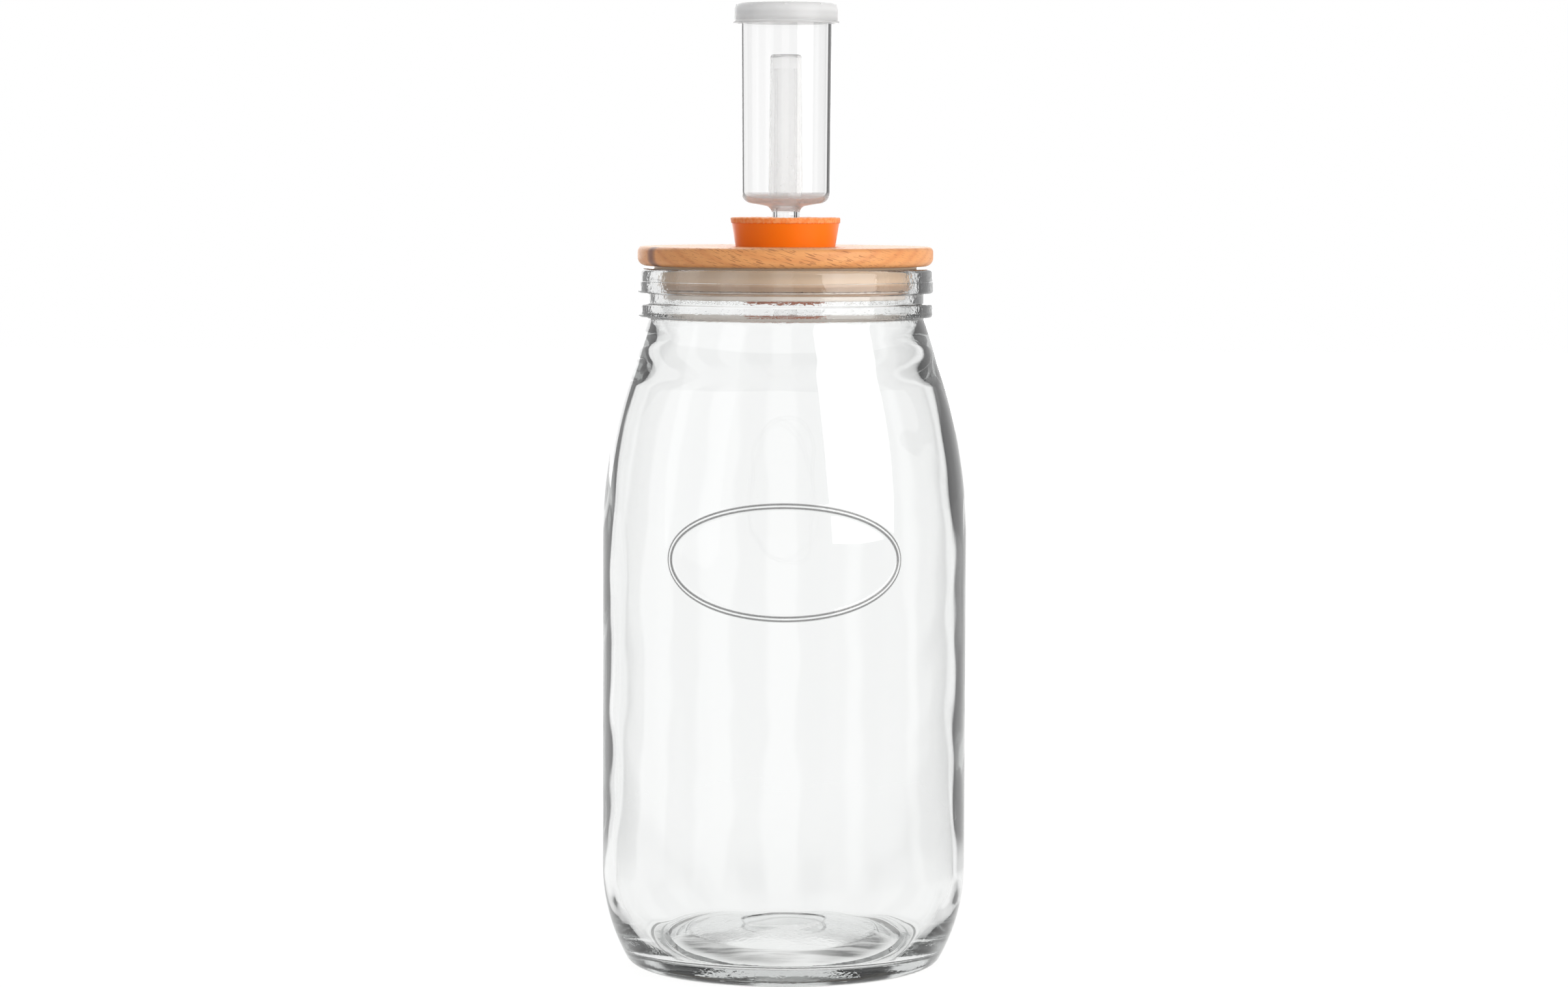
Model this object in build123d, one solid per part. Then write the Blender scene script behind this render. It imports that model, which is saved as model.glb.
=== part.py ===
"""Fermentation jar with a three-piece airlock.

A glass jar with a drawn-in neck takes a turned wooden lid, whose plug wears a silicone seal. A
tapered silicone bung stands in the lid's bore and holds the stem of a clear airlock: a moulded
cup with a tube up its middle, an upside-down cup that floats over the tube, and a vented cap.
Millimetres, +Z up. The origin is on the axis, in the plane that the jar stands on.
"""
from math import atan2, cos, sin, sqrt

from build123d import *
import os

# Glass body and shoulder
body_r = 70.0            # outside of the straight wall
wall = 4.6               # thickness of the wall
shoulder_z = 165.0       # height where the straight wall ends
shoulder_h = 67.5        # rise of the rounded part of the shoulder
shoulder_draw_share = 58 / 83    # how much of the draw from the body to the neck it takes
neck_h = 17.5            # rise from there to the lower ring
throat_start_z = 223.0   # height where the wall starts to thicken inside the shoulder
throat_h = 20.0          # rise over which it thickens
throat_w = 2.3           # how much the thick glass is wider inside than the mouth

# Glass base
heel_h = 38.0            # height where the wall starts to curve in
heel_arc = 72.0          # radius of that curve
heel_corner = 6.0        # radius between the curve and the foot
foot_w = 7.7             # flat ring that the jar stands on
plate_in = 25.8          # from the body's outside in to the edge of the hollow under the base
plate_step = 0.8         # rise from the foot to that edge
haunch_w = 7.2           # width of the hollow's steep side, in to its dome
haunch_rise = 4.4
push_up = 8.0            # height of the middle of the hollow
valley_in = 12.4         # from the wall's inside in to the lowest ring of the floor
valley_z = 7.6
valley_round = 4.0
floor_top = 15.0         # height of the middle of the inside floor
dimple_r = 17.0          # shallow dimple in the middle
dimple_depth = 0.7
dimple_slope = 1.4       # width of its sloping edge

# Glass mouth: two rings with a groove between them
mouth_r = 48.5           # bore that the lid's plug goes in
neck_wall = 4.9          # from the mouth out, below the rings and in the groove
ring_w = 3.6             # how far both rings stand out of the neck
ring_draft = 0.6         # how much the upper ring narrows to the rim
lower_ring_h = 5.2
groove_h = 4.0
upper_ring_h = 9.4
mould_line_h = 4.4       # small step up the upper ring, where the moulds met
mould_step = 0.25
ring_round = 0.9         # edges of the rings
neck_round = 0.5         # corners at the root of the rings
rim_outer_round = 1.6
rim_inner_round = 1.1

# Wooden lid
lid_in = 0.25            # from the rings' outside in to the lid's edge
lid_t = 7.4
lid_top_round = 2.0
lid_edge_round = 3.2     # the lower edge, rounded more than the upper one
plug_h = 12.5            # from the lid's underside to the bottom of the plug
plug_gap = 2.1           # between the plug and the mouth
plug_foot_h = 3.6        # wood left below the seal
plug_round = 0.8
seal_groove = 1.2        # how deep the seal sits in the plug
bore_round = 0.5         # edges of the lid's bore

# Seal round the plug
flange_t = 0.9           # lies between the lid and the rim
flange_reach = 2.0       # how far it lies over the rim
band_lead = 1.3          # slope at the foot of the band that presses on the mouth
band_lead_h = 1.8
band_relief = 0.6        # groove between the band and the flange
seal_fit = 0.08          # between the band and the mouth
seat_fit = 0.05          # between the seal and its groove

# Bung in the lid
bung_top_r = 21.0
bung_base_r = 15.6
bung_h = 32.6
bung_proud = 11.1        # how much of it stands above the lid
bung_lip = 0.25          # how far its top edge stands out of the taper
bung_lip_h = 2.6
bung_round = 0.6
bung_fit = 0.06          # between the bung and the lid's bore

# Airlock: stem, cup and the tube up its middle
stem_tip_r = 4.3
stem_neck_r = 5.6
stem_out = 5.9           # how far the stem comes out below the bung
stem_rise = 4.0          # from the bung's top to the underside of the cup
stem_fit = 0.05          # between the stem and the bung's bore
stem_round = 2.4         # between the stem and the cup
tip_round = 0.3          # small edges of the moulding
gas_bore_r = 3.3
cup_r = 17.05            # outside of the cup at its base
cup_draft = 0.5          # how much it widens to its rim
cup_wall = 1.3
cup_rise = 1.9           # slope of its underside from the stem to the wall
cup_floor_t = 2.8        # at the stem
cup_depth = 71.5         # from the floor to the rim
cup_corner = 4.4         # outside corner between the underside and the wall
bead = 0.4               # ring outside the rim that the cap slides over
bead_h = 1.6
bead_drop = 1.0          # from the rim to the bead
tube_r = 4.7
tube_draft = 0.3
tube_h = 50.0
tube_round = 0.4

# Float: an upside-down cup over the tube
float_base_r = 6.65
float_top_r = 6.0
float_h = 55.5
float_wall = 0.9
float_round = 1.3
notch_count = 4          # bubbles leave through these notches in its rim
notch_w = 2.0
notch_h = 2.6

# Cap on the cup's rim
cap_r = 19.8
cap_h = 7.8
cap_wall = 1.1
cap_top_t = 1.2
cap_round = 2.8
cap_lip = 0.6
cap_lip_h = 0.9
cap_fit = 0.08           # between the cap's ribs and the bead
standoff = 2.4           # height of the ribs that hold the cap off the rim
rib_count = 8
rib_t = 1.2
rib_reach = 3.4          # how far a rib goes in under the top
rib_margin = 0.8         # skirt left plain below a rib
vent_count = 6
vent_r = 0.8
vent_ring_r = 9.0        # circle that the vents lie on
overrun = 1.0            # how far a cutter passes a face

# Radii and heights that follow from these
neck_r = mouth_r + neck_wall
ring_r = neck_r + ring_w
throat_r = mouth_r + throat_w
shoulder_draw = (body_r - neck_r) * shoulder_draw_share
valley_r = body_r - wall - valley_in
plate_r = body_r - plate_in
haunch_r = plate_r - haunch_w
lid_r = ring_r - lid_in
neck_z = shoulder_z + shoulder_h + neck_h
groove_z = neck_z + lower_ring_h
rim_z = groove_z + groove_h + upper_ring_h
lid_z = rim_z + flange_t
lid_top_z = lid_z + lid_t
plug_z = lid_z - plug_h
plug_r = mouth_r - plug_gap
seal_r = plug_r - seal_groove
bung_top_z = lid_top_z + bung_proud
bung_z = bung_top_z - bung_h
stem_z = bung_z - stem_out
cup_z = bung_top_z + stem_rise
floor_z = cup_z + cup_floor_t
cup_rim_z = floor_z + cup_depth
cup_rim_r = cup_r + cup_draft
cap_top_z = cup_rim_z + standoff + cap_top_t
cap_z = cap_top_z - cap_h


def turned(*corners):
    """Solid turned about the axis, from corners given as radius, height and rounding."""
    outline = FilletPolyline(
        *[(r, z) for r, z, _ in corners], radius=[edge for _, _, edge in corners], close=True
    )
    return revolve(Plane.XZ * make_face(outline), Axis.Z)


def between(z, low, high):
    """Radius at height z on a straight taper between two corners (radius, height)."""
    share = (z - low[1]) / (high[1] - low[1])
    return low[0] + (high[0] - low[0]) * share


def swing(centre, start, end):
    """Arc from start to end about a centre, the short way round."""
    start, end, centre = Vector(start), Vector(end), Vector(centre)
    middle = (start + end - centre * 2).normalized()
    return ThreePointArc(start, centre + middle * (start - centre).length, end)


def dome(edge, top_z):
    """Arc from the axis at top_z down to an edge (radius, height), level on the axis."""
    drop = top_z - edge[1]
    radius = (edge[0] ** 2 + drop**2) / (2 * drop)
    return swing((0, top_z - radius), (0, top_z), edge)


def heel():
    """Arcs from the foot up to the upright wall, and the radius where they meet the foot."""
    centre = (body_r - heel_arc, heel_h)
    fall = heel_h - heel_corner
    reach = sqrt((heel_arc - heel_corner) ** 2 - fall**2)
    foot_r = centre[0] + reach
    turn = atan2(fall, reach)
    meet = (centre[0] + heel_arc * cos(turn), heel_h - heel_arc * sin(turn))
    low = swing((foot_r, heel_corner), (foot_r, 0), meet)
    return [low, swing(centre, meet, (body_r, heel_h))], foot_r


def underside(foot_r):
    """Dome, steep side and step under the base, from the axis out to the foot's inner edge."""
    edge = foot_r - foot_w
    return [
        dome((haunch_r, haunch_rise), push_up),
        Line((haunch_r, haunch_rise), (plate_r, plate_step)),
        Line((plate_r, plate_step), (edge - plate_step, plate_step)),
        Line((edge - plate_step, plate_step), (edge, 0)),
    ]


def inner_floor(side_r):
    """Arcs round the heel and the valley and over the dome, each tangent to the next."""
    valley = Vector(valley_r, valley_z + valley_round)
    out, up = side_r - valley.X, heel_h - valley.Y
    bend = (out**2 + up**2 - valley_round**2) / (2 * (out - valley_round))
    corner = Vector(side_r - bend, heel_h)
    sink = valley.Y - floor_top
    radius = (valley_r**2 + sink**2 - valley_round**2) / (2 * (valley_round - sink))
    crown = Vector(0, floor_top - radius)
    foot = corner + (valley - corner).normalized() * bend
    edge = crown + (valley - crown).normalized() * radius
    lip = (dimple_r, crown.Y + sqrt(radius**2 - dimple_r**2))
    sunk = (dimple_r - dimple_slope, lip[1] - dimple_depth)
    return [
        swing(corner, (side_r, heel_h), foot),
        swing(valley, foot, edge),
        swing(crown, edge, lip),
        Line(lip, sunk),
        dome(sunk, floor_top - dimple_depth),
        Line((0, floor_top - dimple_depth), (0, push_up)),
    ]


def shoulder(side_r, top):
    """Arcs from the upright wall in to the neck: one bulging, then one hollow."""
    radius = (shoulder_h**2 + shoulder_draw**2) / (2 * shoulder_draw)
    bend = (side_r - shoulder_draw, shoulder_z + shoulder_h)
    bulge = swing((side_r - radius, shoulder_z), (side_r, shoulder_z), bend)
    lean = atan2(shoulder_h, radius - shoulder_draw)
    hollow = TangentArc(bend, top, tangent=(-sin(lean), cos(lean)))
    return [bulge, hollow]


def throat(side_r, top):
    """Arcs up the inside of the shoulder, whose glass thickens below the neck."""
    radius = (shoulder_h**2 + shoulder_draw**2) / (2 * shoulder_draw)
    rise = throat_start_z - shoulder_z
    start = (side_r - radius + sqrt(radius**2 - rise**2), throat_start_z)
    end = (throat_r, throat_start_z + throat_h)
    middle = ((start[0] + end[0]) / 2, (start[1] + end[1]) / 2)
    lean = atan2(rise, radius)
    inward = TangentArc(start, middle, tangent=(-sin(lean), cos(lean)))
    return [
        swing((side_r - radius, shoulder_z), (side_r, shoulder_z), start),
        inward,
        TangentArc(middle, end, tangent=inward % 1),
        Line(end, top),
    ]


def glass_jar():
    inside_r = body_r - wall
    outer_heel, foot_r = heel()
    bore_z = neck_z + lower_ring_h / 2
    ring_z = groove_z + groove_h
    mould_z = ring_z + mould_line_h
    rings = FilletPolyline(
        (neck_r, neck_z - neck_round * 2),
        (neck_r, neck_z),
        (ring_r - ring_draft / 2, neck_z),
        (ring_r - ring_draft / 2, groove_z),
        (neck_r, groove_z),
        (neck_r, ring_z),
        (ring_r, ring_z),
        (ring_r, mould_z),
        (ring_r - mould_step, mould_z),
        (ring_r - ring_draft, rim_z),
        (mouth_r, rim_z),
        (mouth_r, bore_z),
        radius=[
            neck_round,
            ring_round,
            ring_round,
            neck_round,
            neck_round,
            ring_round,
            0,
            0,
            rim_outer_round,
            rim_inner_round,
        ],
    )
    outline = [
        *underside(foot_r),
        Line((foot_r - foot_w, 0), (foot_r, 0)),
        *outer_heel,
        Line((body_r, heel_h), (body_r, shoulder_z)),
        *shoulder(body_r, (neck_r, neck_z - neck_round * 2)),
        *rings.edges(),
        *throat(inside_r, (mouth_r, bore_z)),
        Line((inside_r, shoulder_z), (inside_r, heel_h)),
        *inner_floor(inside_r),
    ]
    return revolve(Plane.XZ * make_face(outline), Axis.Z)


def bung_taper_r(z):
    return between(z, (bung_base_r, bung_z), (bung_top_r, bung_top_z))


def wooden_lid():
    foot_z = plug_z + plug_foot_h
    return turned(
        (bung_taper_r(plug_z) + bung_fit, plug_z, bore_round),
        (plug_r, plug_z, plug_round),
        (plug_r, foot_z, plug_round),
        (seal_r, foot_z, 0),
        (seal_r, lid_z, 0),
        (lid_r, lid_z, lid_edge_round),
        (lid_r, lid_top_z, lid_top_round),
        (bung_taper_r(lid_top_z) + bung_fit, lid_top_z, bore_round),
    )


def lid_seal():
    """Flange on the rim, and a sleeve down the plug with a band that presses on the mouth."""
    inside_r = seal_r + seat_fit
    band_r = mouth_r - seal_fit
    base_z = plug_z + plug_foot_h + seat_fit
    relief_z = rim_z - rim_inner_round
    return turned(
        (inside_r, base_z, 0),
        (band_r - band_lead, base_z, 0),
        (band_r, base_z + band_lead_h, 0),
        (band_r, relief_z, 0),
        (band_r - band_relief, relief_z + band_relief, 0),
        (band_r - band_relief, rim_z, 0),
        (mouth_r + flange_reach, rim_z, 0),
        (mouth_r + flange_reach, lid_z, 0),
        (inside_r, lid_z, 0),
    )


def stem_taper_r(z):
    return between(z, (stem_tip_r, stem_z), (stem_neck_r, cup_z))


def airlock_bung():
    lip_z = bung_top_z - bung_lip_h
    return turned(
        (stem_taper_r(bung_z) + stem_fit, bung_z, 0),
        (bung_base_r, bung_z, bung_round),
        (bung_taper_r(lip_z), lip_z, 0),
        (bung_taper_r(lip_z) + bung_lip, lip_z, 0),
        (bung_top_r, bung_top_z, bung_round),
        (stem_taper_r(bung_top_z) + stem_fit, bung_top_z, 0),
    )


def airlock_body():
    """Stem, cup and inner tube in one moulding, with one bore from end to end."""
    bead_top_z = cup_rim_z - bead_drop
    bead_z = bead_top_z - bead_h
    return turned(
        (gas_bore_r, stem_z, 0),
        (stem_tip_r, stem_z, tip_round),
        (stem_neck_r, cup_z, stem_round),
        (cup_r, cup_z + cup_rise, cup_corner),
        (cup_rim_r, bead_z, 0),
        (cup_rim_r + bead, bead_z + bead, 0),
        (cup_rim_r + bead, bead_top_z - bead, 0),
        (cup_rim_r, bead_top_z, 0),
        (cup_rim_r, cup_rim_z, tip_round),
        (cup_rim_r - cup_wall, cup_rim_z, tip_round),
        (cup_r - cup_wall, floor_z, cup_corner - cup_wall),
        (tube_r, floor_z, tube_round),
        (tube_r - tube_draft, floor_z + tube_h, tube_round),
        (gas_bore_r, floor_z + tube_h, tip_round),
    )


def around(count):
    """Turns that set count copies evenly about the axis."""
    return [Rot(0, 0, 360 * i / count) for i in range(count)]


def airlock_float():
    top_z = floor_z + float_h
    cup = turned(
        (0, top_z, 0),
        (float_top_r, top_z, float_round),
        (float_base_r, floor_z, 0),
        (float_base_r - float_wall, floor_z, 0),
        (float_top_r - float_wall, top_z - float_wall, float_round - float_wall / 2),
        (0, top_z - float_wall, 0),
    )
    straight = notch_h - notch_w / 2
    reach = float_base_r + overrun
    slot = Pos(0, 0, floor_z + straight) * Rot(0, 90, 0) * Cylinder(
        notch_w / 2, reach, align=(Align.CENTER, Align.CENTER, Align.MIN)
    )
    slot += Pos(0, 0, floor_z - overrun) * Box(
        reach, notch_w, straight + overrun, align=(Align.MIN, Align.CENTER, Align.MIN)
    )
    for turn in around(notch_count):
        cup -= turn * slot
    return cup


def airlock_cap():
    """Cap with ribs inside that hold it off the rim, so that gas leaves between them."""
    under_z = cap_top_z - cap_top_t
    inside_r = cap_r - cap_wall
    cap = turned(
        (0, cap_top_z, 0),
        (cap_r, cap_top_z, cap_round),
        (cap_r, cap_z + cap_lip_h, 0),
        (cap_r + cap_lip, cap_z + cap_lip_h, tip_round),
        (cap_r + cap_lip, cap_z, tip_round),
        (inside_r, cap_z, 0),
        (inside_r, under_z, cap_round - cap_wall),
        (0, under_z, 0),
    )
    upright_r = cup_rim_r + bead + cap_fit
    rib = rib_blade(upright_r, cap_z + rib_margin, inside_r + cap_wall / 2, under_z)
    rib += rib_blade(upright_r - rib_reach, cup_rim_z, inside_r, under_z + cap_top_t / 2)
    for turn in around(rib_count):
        cap += turn * rib
    drill = Pos(vent_ring_r, 0, cap_top_z) * Cylinder(vent_r, 2 * (cap_top_t + overrun))
    for turn in around(vent_count):
        cap -= turn * drill
    return cap


def rib_blade(low_r, low_z, high_r, high_z):
    """Flat blade that stands out from the axis along X."""
    return Pos(low_r, 0, low_z) * Box(
        high_r - low_r, rib_t, high_z - low_z, align=(Align.MIN, Align.CENTER, Align.MIN)
    )


PARTS = {
    "glass_jar": glass_jar,
    "wooden_lid": wooden_lid,
    "lid_seal": lid_seal,
    "airlock_bung": airlock_bung,
    "airlock_body": airlock_body,
    "airlock_float": airlock_float,
    "airlock_cap": airlock_cap,
}

os.makedirs("parts", exist_ok=True)
for name, make in PARTS.items():
    export_step(make(), f"parts/{name}.step")
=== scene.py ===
"""Fermentation jar with a three-piece airlock, dressed for a studio picture.

Each piece is turned from its outline, as on a lathe, in the place of the CAD node that it stands
for. Lengths are in metres, +Z is up, and the front of the jar faces -Y.
"""
import math

import bmesh
import bpy
from bpy.props import FloatProperty, FloatVectorProperty, IntProperty, PointerProperty
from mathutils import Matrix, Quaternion, Vector


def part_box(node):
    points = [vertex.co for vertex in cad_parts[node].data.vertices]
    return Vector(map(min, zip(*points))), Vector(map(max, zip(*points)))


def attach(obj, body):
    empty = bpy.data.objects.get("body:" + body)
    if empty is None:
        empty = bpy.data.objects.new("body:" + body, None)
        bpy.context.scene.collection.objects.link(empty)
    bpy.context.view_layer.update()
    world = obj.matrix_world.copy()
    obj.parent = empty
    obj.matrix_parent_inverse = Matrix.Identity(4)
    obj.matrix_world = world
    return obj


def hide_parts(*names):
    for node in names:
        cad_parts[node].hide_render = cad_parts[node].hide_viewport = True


bl_info = {
    "name": "Fermentation jar with airlock",
    "version": (1, 0, 0),
    "blender": (4, 5, 0),
    "location": "View3D > Sidebar > Jar",
    "description": "Turns a glass fermentation jar with its lid, bung and water airlock",
    "category": "Add Mesh",
}

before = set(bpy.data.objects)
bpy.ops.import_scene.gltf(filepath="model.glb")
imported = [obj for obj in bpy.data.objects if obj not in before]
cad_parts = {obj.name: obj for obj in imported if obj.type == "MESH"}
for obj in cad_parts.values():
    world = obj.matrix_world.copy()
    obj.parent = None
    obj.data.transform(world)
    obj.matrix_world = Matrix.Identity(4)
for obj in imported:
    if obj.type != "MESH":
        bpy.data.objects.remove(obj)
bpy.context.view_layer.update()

MM = 0.001
FULL_TURN = 2 * math.pi
MERGE = 1e-6
BOUNCES = 32
FLAGS = 8
WHITE = (1, 1, 1, 1)
FLAG_BLACK = (0.01, 0.01, 0.011, 1)

# Roundings of small edges
HAIR = 0.1 * MM
FINE = 0.2 * MM
SOFT = 0.3 * MM
EASED = 0.5 * MM


def top_of(node):
    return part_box(node)[1].z


def foot_of(node):
    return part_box(node)[0].z


def radius_of(node):
    """Largest distance from the axis on either side, from the node's box."""
    low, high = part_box(node)
    return max(high.x, -low.x)


# Outlines


def arc(centre, radius, start, end, steps):
    """Points on an arc from angle start to angle end, both in radians, ends included."""
    angles = [start + (end - start) * i / steps for i in range(steps + 1)]
    return [(centre[0] + radius * math.cos(a), centre[1] + radius * math.sin(a)) for a in angles]


def bowed(start, end, rise, steps):
    """Points on the arc from start to end whose middle stands rise to the left of the chord."""
    start, end = Vector(start), Vector(end)
    chord = end - start
    radius = (chord.length**2 / 4 + rise**2) / (2 * abs(rise))
    left = Vector((-chord.y, chord.x)).normalized() * math.copysign(1, rise)
    centre = (start + end) / 2 + left * (abs(rise) - radius)
    half = math.asin(min(1, chord.length / 2 / radius))
    points = []
    for i in range(steps + 1):
        turn = half * (2 * i / steps - 1)
        along, out = math.sin(turn) * radius, math.cos(turn) * radius
        points.append(tuple(centre + chord.normalized() * along + left * out))
    return points


def straight(start, end, steps):
    """Evenly spaced points from start to end, ends included."""
    start, end = Vector(start), Vector(end)
    return [tuple(start.lerp(end, i / steps)) for i in range(steps + 1)]


def rounded(corners, steps=5):
    """Points through (radius, height, rounding) corners, with an arc at each rounded one.

    The first and last corners stay sharp, so an outline starts and ends on a straight run.
    """
    points = [corners[0][:2]]
    for before, corner, after in zip(corners, corners[1:], corners[2:]):
        place, rounding = Vector(corner[:2]), corner[2]
        if not rounding:
            points.append(tuple(place))
            continue
        back = (Vector(before[:2]) - place).normalized()
        on = (Vector(after[:2]) - place).normalized()
        opening = back.angle(on)
        reach = rounding / math.tan(opening / 2)
        centre = place + (back + on).normalized() * rounding / math.sin(opening / 2)
        first, last = place + back * reach - centre, place + on * reach - centre
        sweep = math.pi - opening
        for i in range(steps + 1):
            share = i / steps
            swung = first * math.sin((1 - share) * sweep) + last * math.sin(share * sweep)
            points.append(tuple(centre + swung / math.sin(sweep)))
    points.append(corners[-1][:2])
    return points


def joined(*runs):
    """One outline from several runs of points, with repeated points left out."""
    points = []
    for run in runs:
        for point in run:
            if not points or (Vector(point) - Vector(points[-1])).length > MERGE * 10:
                points.append(point)
    return points


# Modelling


def draw(name, outline, closed=False):
    """New piece, in edit mode, whose vertices follow an outline of (radius, height) points."""
    bpy.ops.object.select_all(action="DESELECT")
    bpy.ops.mesh.primitive_plane_add(size=MM)
    piece = bpy.context.object
    piece.name = piece.data.name = name
    bpy.ops.object.mode_set(mode="EDIT")
    bpy.ops.mesh.select_mode(type="VERT")
    bpy.ops.mesh.select_all(action="SELECT")
    bpy.ops.mesh.merge(type="CENTER")
    bpy.ops.transform.translate(value=(outline[0][0], 0, outline[0][1]))
    for here, there in zip(outline, outline[1:]):
        step = (there[0] - here[0], 0, there[1] - here[1])
        bpy.ops.mesh.extrude_vertices_move(TRANSFORM_OT_translate={"value": step})
    if closed:
        mesh = bmesh.from_edit_mesh(piece.data)
        mesh.verts.ensure_lookup_table()
        bpy.ops.mesh.select_all(action="DESELECT")
        mesh.verts[0].select = mesh.verts[-1].select = True
        bpy.ops.mesh.edge_face_add()
    return piece


def turn(name, outline, columns, closed=False):
    """Piece turned about the upright axis from its outline."""
    piece = draw(name, outline, closed)
    bpy.ops.mesh.select_all(action="SELECT")
    bpy.ops.mesh.spin(steps=columns, angle=FULL_TURN, center=(0, 0, 0), axis=(0, 0, 1))
    bpy.ops.mesh.select_all(action="SELECT")
    bpy.ops.mesh.remove_doubles(threshold=MERGE)
    bpy.ops.mesh.normals_make_consistent(inside=False)
    bpy.ops.object.mode_set(mode="OBJECT")
    return piece


def turn_ring(name, corners, steps, columns):
    """Piece with a bore, turned from corners that start and end at the same place on the bore."""
    return turn(name, rounded(corners, steps)[:-1], columns, closed=True)


def pick(piece, wanted):
    """Goes into edit mode with just the faces selected whose centre passes a test."""
    bpy.ops.object.mode_set(mode="EDIT")
    bpy.ops.mesh.select_mode(type="FACE")
    bpy.ops.mesh.select_all(action="DESELECT")
    mesh = bmesh.from_edit_mesh(piece.data)
    for face in mesh.faces:
        if wanted(face.calc_center_median()):
            face.select_set(True)
    mesh.select_flush(True)
    bmesh.update_edit_mesh(piece.data)


def wave(piece, name, wanted, size, strength):
    """Gives the faces that pass a test the slight waviness of moulded glass or rubber."""
    pick(piece, wanted)
    group = piece.vertex_groups.new(name=name)
    bpy.ops.object.vertex_group_set_active(group=group.name)
    bpy.ops.object.vertex_group_assign()
    bpy.ops.object.mode_set(mode="OBJECT")
    clouds = bpy.data.textures.new(name, type="CLOUDS")
    clouds.noise_scale = size
    clouds.noise_depth = 1
    bpy.ops.object.modifier_add(type="DISPLACE")
    ripple = piece.modifiers[-1]
    ripple.texture = clouds
    ripple.texture_coords = "LOCAL"
    ripple.vertex_group = group.name
    ripple.strength = strength
    ripple.mid_level = 0.5
    bpy.ops.object.modifier_apply(modifier=ripple.name)


def cut(piece, cutter, operation="DIFFERENCE"):
    """Cuts one piece with another, or joins them, and removes the second and any slivers."""
    bpy.ops.object.select_all(action="DESELECT")
    bpy.context.view_layer.objects.active = piece
    piece.select_set(True)
    bpy.ops.object.modifier_add(type="BOOLEAN")
    shape = piece.modifiers[-1]
    shape.operation = operation
    shape.solver = "EXACT"
    shape.object = cutter
    bpy.ops.object.modifier_apply(modifier=shape.name)
    spare = cutter.data
    bpy.data.objects.remove(cutter)
    bpy.data.meshes.remove(spare)
    bpy.ops.object.mode_set(mode="EDIT")
    bpy.ops.mesh.select_all(action="SELECT")
    bpy.ops.mesh.remove_doubles(threshold=MERGE)
    bpy.ops.mesh.dissolve_degenerate(threshold=MERGE)
    bpy.ops.object.mode_set(mode="OBJECT")


def repeat_round(count):
    """Repeats what is selected in edit mode evenly about the axis, and leaves edit mode."""
    for _ in range(count - 1):
        bpy.ops.mesh.duplicate()
        bpy.ops.transform.rotate(
            value=-FULL_TURN / count, orient_axis="Z", center_override=(0, 0, 0)
        )
    bpy.ops.object.mode_set(mode="OBJECT")


def ring_of(name, outline, width, count):
    """Flat fins of one (radius, height) outline, evenly turned about the axis, as one piece."""
    piece = draw(name, outline, closed=True)
    bpy.ops.mesh.select_all(action="SELECT")
    bpy.ops.mesh.edge_face_add()
    bpy.ops.transform.translate(value=(0, -width / 2, 0))
    bpy.ops.mesh.extrude_region_move(TRANSFORM_OT_translate={"value": (0, width, 0)})
    bpy.ops.mesh.select_all(action="SELECT")
    bpy.ops.mesh.normals_make_consistent(inside=False)
    repeat_round(count)
    return piece


def smooth(piece, angle=math.radians(35)):
    """Smooth shading, led by the large faces so that fillets stay crisp."""
    bpy.ops.object.select_all(action="DESELECT")
    bpy.context.view_layer.objects.active = piece
    piece.select_set(True)
    bpy.ops.object.shade_smooth_by_angle(angle=angle)
    bpy.ops.object.modifier_add(type="WEIGHTED_NORMAL")
    weighted = piece.modifiers[-1]
    weighted.keep_sharp = True
    bpy.ops.object.modifier_apply(modifier=weighted.name)


def seat(piece, node, body, finish):
    """Gives a piece its finish and puts it in the place of a CAD node."""
    piece.data.materials.clear()
    piece.data.materials.append(finish)
    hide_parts(node)
    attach(piece, body)


# Shader maths


class Value:
    """A socket that carries a number. Python's operators on it add Math nodes to its tree."""

    def __init__(self, tree, socket):
        self.tree, self.socket = tree, socket

    def maths(self, operation, *others, swap=False):
        node = self.tree.nodes.new("ShaderNodeMath")
        node.operation = operation
        terms = [*others, self] if swap else [self, *others]
        for entry, term in zip(node.inputs, terms):
            if isinstance(term, Value):
                self.tree.links.new(term.socket, entry)
            else:
                entry.default_value = term
        return Value(self.tree, node.outputs[0])

    def __add__(self, other):
        return self.maths("ADD", other)

    __radd__ = __add__

    def __sub__(self, other):
        return self.maths("SUBTRACT", other)

    def __rsub__(self, other):
        return self.maths("SUBTRACT", other, swap=True)

    def __mul__(self, other):
        return self.maths("MULTIPLY", other)

    __rmul__ = __mul__

    def __truediv__(self, other):
        return self.maths("DIVIDE", other)

    def __rtruediv__(self, other):
        return self.maths("DIVIDE", other, swap=True)

    def __pow__(self, other):
        return self.maths("POWER", other)

    def __neg__(self):
        return self.maths("MULTIPLY", -1)

    def __abs__(self):
        return self.maths("ABSOLUTE")

    def sine(self):
        return self.maths("SINE")

    def cosine(self):
        return self.maths("COSINE")

    def root(self):
        return self.maths("SQRT")

    def least(self, other):
        return self.maths("MINIMUM", other)

    def most(self, other):
        return self.maths("MAXIMUM", other)

    def bearing(self, other):
        """Angle whose tangent is this value over the other."""
        return self.maths("ARCTAN2", other)

    def between(self, low, high):
        """0 below low, 1 above high and a smooth change from one to the other."""
        node = self.tree.nodes.new("ShaderNodeMapRange")
        node.interpolation_type = "SMOOTHSTEP"
        for name, number in (("From Min", low), ("From Max", high)):
            node.inputs[name].default_value = number
        self.tree.links.new(self.socket, node.inputs["Value"])
        return Value(self.tree, node.outputs["Result"])


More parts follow.
